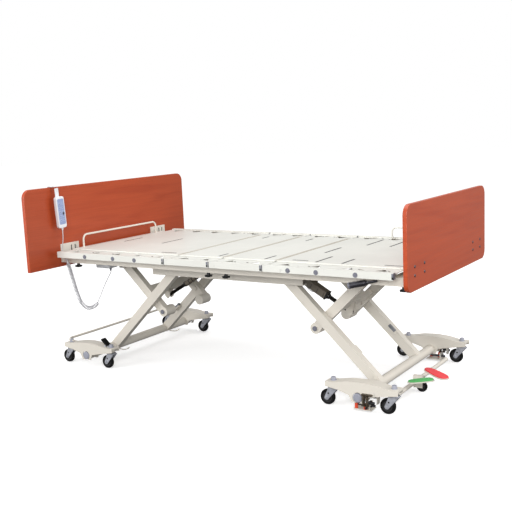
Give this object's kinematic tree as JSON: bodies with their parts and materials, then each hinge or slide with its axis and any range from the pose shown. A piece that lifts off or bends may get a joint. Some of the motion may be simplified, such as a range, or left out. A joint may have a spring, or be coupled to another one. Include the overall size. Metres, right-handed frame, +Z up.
{
  "type": "adjustable hospital bed",
  "caption": "Wide adjustable hospital bed frame: hinged deck with sliding side wings, scissor legs at each end on caster bogies, wooden end boards, hand control",
  "frame": {"origin": "on the floor, under the middle of the bed's bounding box", "axes": "+X from the headboard to the footboard, +Y from the side with the hand control to the other side, +Z up"},
  "size_m": [2.2536, 1.403, 1.041],
  "materials": {
    "frame_paint": "satin powder coat",
    "deck_paint": "satin powder coat",
    "board_wood": "cherry wood laminate, satin",
    "motor_housing": "moulded, satin",
    "actuator_rod": "dark, smooth",
    "zinc_steel": "zinc plated",
    "caster_wheel": "black rubber",
    "white_plastic": "moulded, semi-gloss",
    "cord_jacket": "flexible cable jacket",
    "pedal_red": "moulded, satin",
    "pedal_green": "moulded, satin"
  },
  "bodies": {
    "root": {"main_frame": "frame_paint", "board_bracket_head_near": "frame_paint", "board_bracket_head_far": "frame_paint", "board_bracket_foot_near": "frame_paint", "board_bracket_foot_far": "frame_paint", "track_beam_near": "frame_paint", "track_beam_far": "frame_paint", "headboard": "board_wood", "footboard": "board_wood", "control_box": "white_plastic", "cord_lead_upper": "cord_jacket", "cord_coil": "cord_jacket", "cord_lead_lower": "cord_jacket", "handset": "white_plastic", "seat_panel": "deck_paint"},
    "back_section": {"back_panel": "deck_paint", "head_retainer": "frame_paint"},
    "thigh_section": {"thigh_panel": "deck_paint"},
    "foot_section": {"foot_panel": "deck_paint"},
    "back_wing_near": {"back_wing_near": "deck_paint"},
    "back_wing_far": {"back_wing_far": "deck_paint"},
    "seat_wing_near": {"seat_wing_near": "deck_paint"},
    "seat_wing_far": {"seat_wing_far": "deck_paint"},
    "thigh_wing_near": {"thigh_wing_near": "deck_paint"},
    "thigh_wing_far": {"thigh_wing_far": "deck_paint"},
    "foot_wing_near": {"foot_wing_near": "deck_paint"},
    "foot_wing_far": {"foot_wing_far": "deck_paint"},
    "head_short": {"head_short_frame": "frame_paint"},
    "head_long": {"head_long_frame": "frame_paint"},
    "head_base": {"head_bogie_near": "frame_paint", "head_bogie_far": "frame_paint", "head_tie_bar": "frame_paint"},
    "head_motor": {"head_lift_motor": "motor_housing"},
    "head_rod": {"head_lift_rod": "actuator_rod"},
    "fork_head_head_near": {"fork_head_head_near": "zinc_steel"},
    "wheel_head_head_near": {"wheel_head_head_near": "caster_wheel"},
    "fork_head_head_far": {"fork_head_head_far": "zinc_steel"},
    "wheel_head_head_far": {"wheel_head_head_far": "caster_wheel"},
    "fork_head_foot_near": {"fork_head_foot_near": "zinc_steel"},
    "wheel_head_foot_near": {"wheel_head_foot_near": "caster_wheel"},
    "fork_head_foot_far": {"fork_head_foot_far": "zinc_steel"},
    "wheel_head_foot_far": {"wheel_head_foot_far": "caster_wheel"},
    "foot_short": {"foot_short_frame": "frame_paint"},
    "foot_long": {"foot_long_frame": "frame_paint"},
    "foot_base": {"foot_bogie_near": "frame_paint", "foot_bogie_far": "frame_paint"},
    "foot_motor": {"foot_lift_motor": "motor_housing"},
    "foot_rod": {"foot_lift_rod": "actuator_rod"},
    "fork_foot_head_near": {"fork_foot_head_near": "zinc_steel"},
    "wheel_foot_head_near": {"wheel_foot_head_near": "caster_wheel"},
    "fork_foot_head_far": {"fork_foot_head_far": "zinc_steel"},
    "wheel_foot_head_far": {"wheel_foot_head_far": "caster_wheel"},
    "fork_foot_foot_near": {"fork_foot_foot_near": "zinc_steel"},
    "wheel_foot_foot_near": {"wheel_foot_foot_near": "caster_wheel"},
    "fork_foot_foot_far": {"fork_foot_foot_far": "zinc_steel"},
    "wheel_foot_foot_far": {"wheel_foot_foot_far": "caster_wheel"},
    "pedals": {"pedal_bar": "frame_paint", "pedal_red": "pedal_red", "pedal_green": "pedal_green"},
    "steer_wheel": {"steer_wheel": "caster_wheel"}
  },
  "joints": [
    {"name": "head_lift", "type": "hinge", "parent": "root", "child": "head_short", "pos_m": [-0.83147, 0, 0.565], "axis": [0, 1, 0], "range_deg": [-29, 5], "deforming": ["cord_coil"]},
    {"name": "head_cross", "type": "hinge", "parent": "head_short", "child": "head_long", "pos_m": [-0.61567, 0, 0.3566], "axis": [0, 1, 0], "range_deg": [-10, 58]},
    {"name": "head_level", "type": "hinge", "parent": "head_long", "child": "head_base", "pos_m": [-0.91779, 0, 0.06485], "axis": [0, 1, 0], "range_deg": [-29, 5]},
    {"name": "head_motor_tilt", "type": "hinge", "parent": "root", "child": "head_motor", "pos_m": [-0.34847, -0.02, 0.53], "axis": [0, 1, 0], "range_deg": [-2, 11]},
    {"name": "head_rod_slide", "type": "slide", "parent": "head_motor", "child": "head_rod", "axis": [-0.8648, 0, -0.5021], "range_m": [-0.1222, 0.0215]},
    {"name": "swivel_head_head_near", "type": "hinge", "parent": "head_base", "child": "fork_head_head_near", "pos_m": [-1.05679, -0.456, 0.09], "axis": [0, 0, 1], "continuous": true},
    {"name": "roll_head_head_near", "type": "hinge", "parent": "fork_head_head_near", "child": "wheel_head_head_near", "pos_m": [-1.08879, -0.456, 0.038], "axis": [0, 1, 0], "continuous": true},
    {"name": "swivel_head_head_far", "type": "hinge", "parent": "head_base", "child": "fork_head_head_far", "pos_m": [-1.05679, 0.456, 0.09], "axis": [0, 0, 1], "continuous": true},
    {"name": "roll_head_head_far", "type": "hinge", "parent": "fork_head_head_far", "child": "wheel_head_head_far", "pos_m": [-1.08879, 0.456, 0.038], "axis": [0, 1, 0], "continuous": true},
    {"name": "swivel_head_foot_near", "type": "hinge", "parent": "head_base", "child": "fork_head_foot_near", "pos_m": [-0.74679, -0.456, 0.09], "axis": [0, 0, 1], "continuous": true},
    {"name": "roll_head_foot_near", "type": "hinge", "parent": "fork_head_foot_near", "child": "wheel_head_foot_near", "pos_m": [-0.77879, -0.456, 0.038], "axis": [0, 1, 0], "continuous": true},
    {"name": "swivel_head_foot_far", "type": "hinge", "parent": "head_base", "child": "fork_head_foot_far", "pos_m": [-0.74679, 0.456, 0.09], "axis": [0, 0, 1], "continuous": true},
    {"name": "roll_head_foot_far", "type": "hinge", "parent": "fork_head_foot_far", "child": "wheel_head_foot_far", "pos_m": [-0.77879, 0.456, 0.038], "axis": [0, 1, 0], "continuous": true},
    {"name": "foot_lift", "type": "hinge", "parent": "root", "child": "foot_short", "pos_m": [0.72553, 0, 0.565], "axis": [0, -1, 0], "range_deg": [-29, 5]},
    {"name": "foot_cross", "type": "hinge", "parent": "foot_short", "child": "foot_long", "pos_m": [0.50973, 0, 0.3566], "axis": [0, -1, 0], "range_deg": [-10, 58]},
    {"name": "foot_level", "type": "hinge", "parent": "foot_long", "child": "foot_base", "pos_m": [0.81185, 0, 0.06485], "axis": [0, -1, 0], "range_deg": [-29, 5]},
    {"name": "foot_motor_tilt", "type": "hinge", "parent": "root", "child": "foot_motor", "pos_m": [0.24253, -0.02, 0.53], "axis": [0, -1, 0], "range_deg": [-2, 11]},
    {"name": "foot_rod_slide", "type": "slide", "parent": "foot_motor", "child": "foot_rod", "axis": [0.8648, 0, -0.5021], "range_m": [-0.1222, 0.0215]},
    {"name": "swivel_foot_head_near", "type": "hinge", "parent": "foot_base", "child": "fork_foot_head_near", "pos_m": [0.67285, -0.456, 0.09], "axis": [0, 0, 1], "continuous": true},
    {"name": "roll_foot_head_near", "type": "hinge", "parent": "fork_foot_head_near", "child": "wheel_foot_head_near", "pos_m": [0.64085, -0.456, 0.038], "axis": [0, 1, 0], "continuous": true},
    {"name": "swivel_foot_head_far", "type": "hinge", "parent": "foot_base", "child": "fork_foot_head_far", "pos_m": [0.67285, 0.456, 0.09], "axis": [0, 0, 1], "continuous": true},
    {"name": "roll_foot_head_far", "type": "hinge", "parent": "fork_foot_head_far", "child": "wheel_foot_head_far", "pos_m": [0.64085, 0.456, 0.038], "axis": [0, 1, 0], "continuous": true},
    {"name": "swivel_foot_foot_near", "type": "hinge", "parent": "foot_base", "child": "fork_foot_foot_near", "pos_m": [0.98285, -0.456, 0.09], "axis": [0, 0, 1], "continuous": true},
    {"name": "roll_foot_foot_near", "type": "hinge", "parent": "fork_foot_foot_near", "child": "wheel_foot_foot_near", "pos_m": [0.95085, -0.456, 0.038], "axis": [0, 1, 0], "continuous": true},
    {"name": "swivel_foot_foot_far", "type": "hinge", "parent": "foot_base", "child": "fork_foot_foot_far", "pos_m": [0.98285, 0.456, 0.09], "axis": [0, 0, 1], "continuous": true},
    {"name": "roll_foot_foot_far", "type": "hinge", "parent": "fork_foot_foot_far", "child": "wheel_foot_foot_far", "pos_m": [0.95085, 0.456, 0.038], "axis": [0, 1, 0], "continuous": true},
    {"name": "back_tilt", "type": "hinge", "parent": "root", "child": "back_section", "pos_m": [-0.26147, 0, 0.67], "axis": [0, 1, 0], "range_deg": [0, 65]},
    {"name": "thigh_tilt", "type": "hinge", "parent": "root", "child": "thigh_section", "pos_m": [0.02653, 0, 0.67], "axis": [0, -1, 0], "range_deg": [0, 35]},
    {"name": "knee_bend", "type": "hinge", "parent": "thigh_section", "child": "foot_section", "pos_m": [0.34353, 0, 0.64], "axis": [0, -1, 0], "range_deg": [-50.5, 0]},
    {"name": "back_wing_near_slide", "type": "slide", "parent": "back_section", "child": "back_wing_near", "axis": [0, 1, 0], "range_m": [0, 0.076]},
    {"name": "back_wing_far_slide", "type": "slide", "parent": "back_section", "child": "back_wing_far", "axis": [0, -1, 0], "range_m": [0, 0.076]},
    {"name": "seat_wing_near_slide", "type": "slide", "parent": "root", "child": "seat_wing_near", "axis": [0, 1, 0], "range_m": [0, 0.076]},
    {"name": "seat_wing_far_slide", "type": "slide", "parent": "root", "child": "seat_wing_far", "axis": [0, -1, 0], "range_m": [0, 0.076]},
    {"name": "thigh_wing_near_slide", "type": "slide", "parent": "thigh_section", "child": "thigh_wing_near", "axis": [0, 1, 0], "range_m": [0, 0.076]},
    {"name": "thigh_wing_far_slide", "type": "slide", "parent": "thigh_section", "child": "thigh_wing_far", "axis": [0, -1, 0], "range_m": [0, 0.076]},
    {"name": "foot_wing_near_slide", "type": "slide", "parent": "foot_section", "child": "foot_wing_near", "axis": [0, 1, 0], "range_m": [0, 0.076]},
    {"name": "foot_wing_far_slide", "type": "slide", "parent": "foot_section", "child": "foot_wing_far", "axis": [0, -1, 0], "range_m": [0, 0.076]},
    {"name": "pedal_tilt", "type": "hinge", "parent": "foot_base", "child": "pedals", "pos_m": [0.94053, 0, 0.05], "axis": [0, 1, 0], "range_deg": [-12, 12]},
    {"name": "steer_roll", "type": "hinge", "parent": "pedals", "child": "steer_wheel", "pos_m": [0.97053, -0.094, 0.027], "axis": [0, 1, 0], "continuous": true}
  ],
  "couplings": [
    {"joint": "head_cross", "follows": "head_lift", "ratio": -2},
    {"joint": "head_level", "follows": "head_lift", "ratio": 1},
    {"joint": "head_motor_tilt", "follows": "head_lift", "ratio": -0.375},
    {"joint": "head_rod_slide", "follows": "head_lift", "m_per_rad": 0.24064},
    {"joint": "foot_cross", "follows": "foot_lift", "ratio": -2},
    {"joint": "foot_level", "follows": "foot_lift", "ratio": 1},
    {"joint": "foot_motor_tilt", "follows": "foot_lift", "ratio": -0.375},
    {"joint": "foot_rod_slide", "follows": "foot_lift", "m_per_rad": 0.24064},
    {"joint": "knee_bend", "follows": "thigh_tilt", "ratio": -1.44}
  ]
}
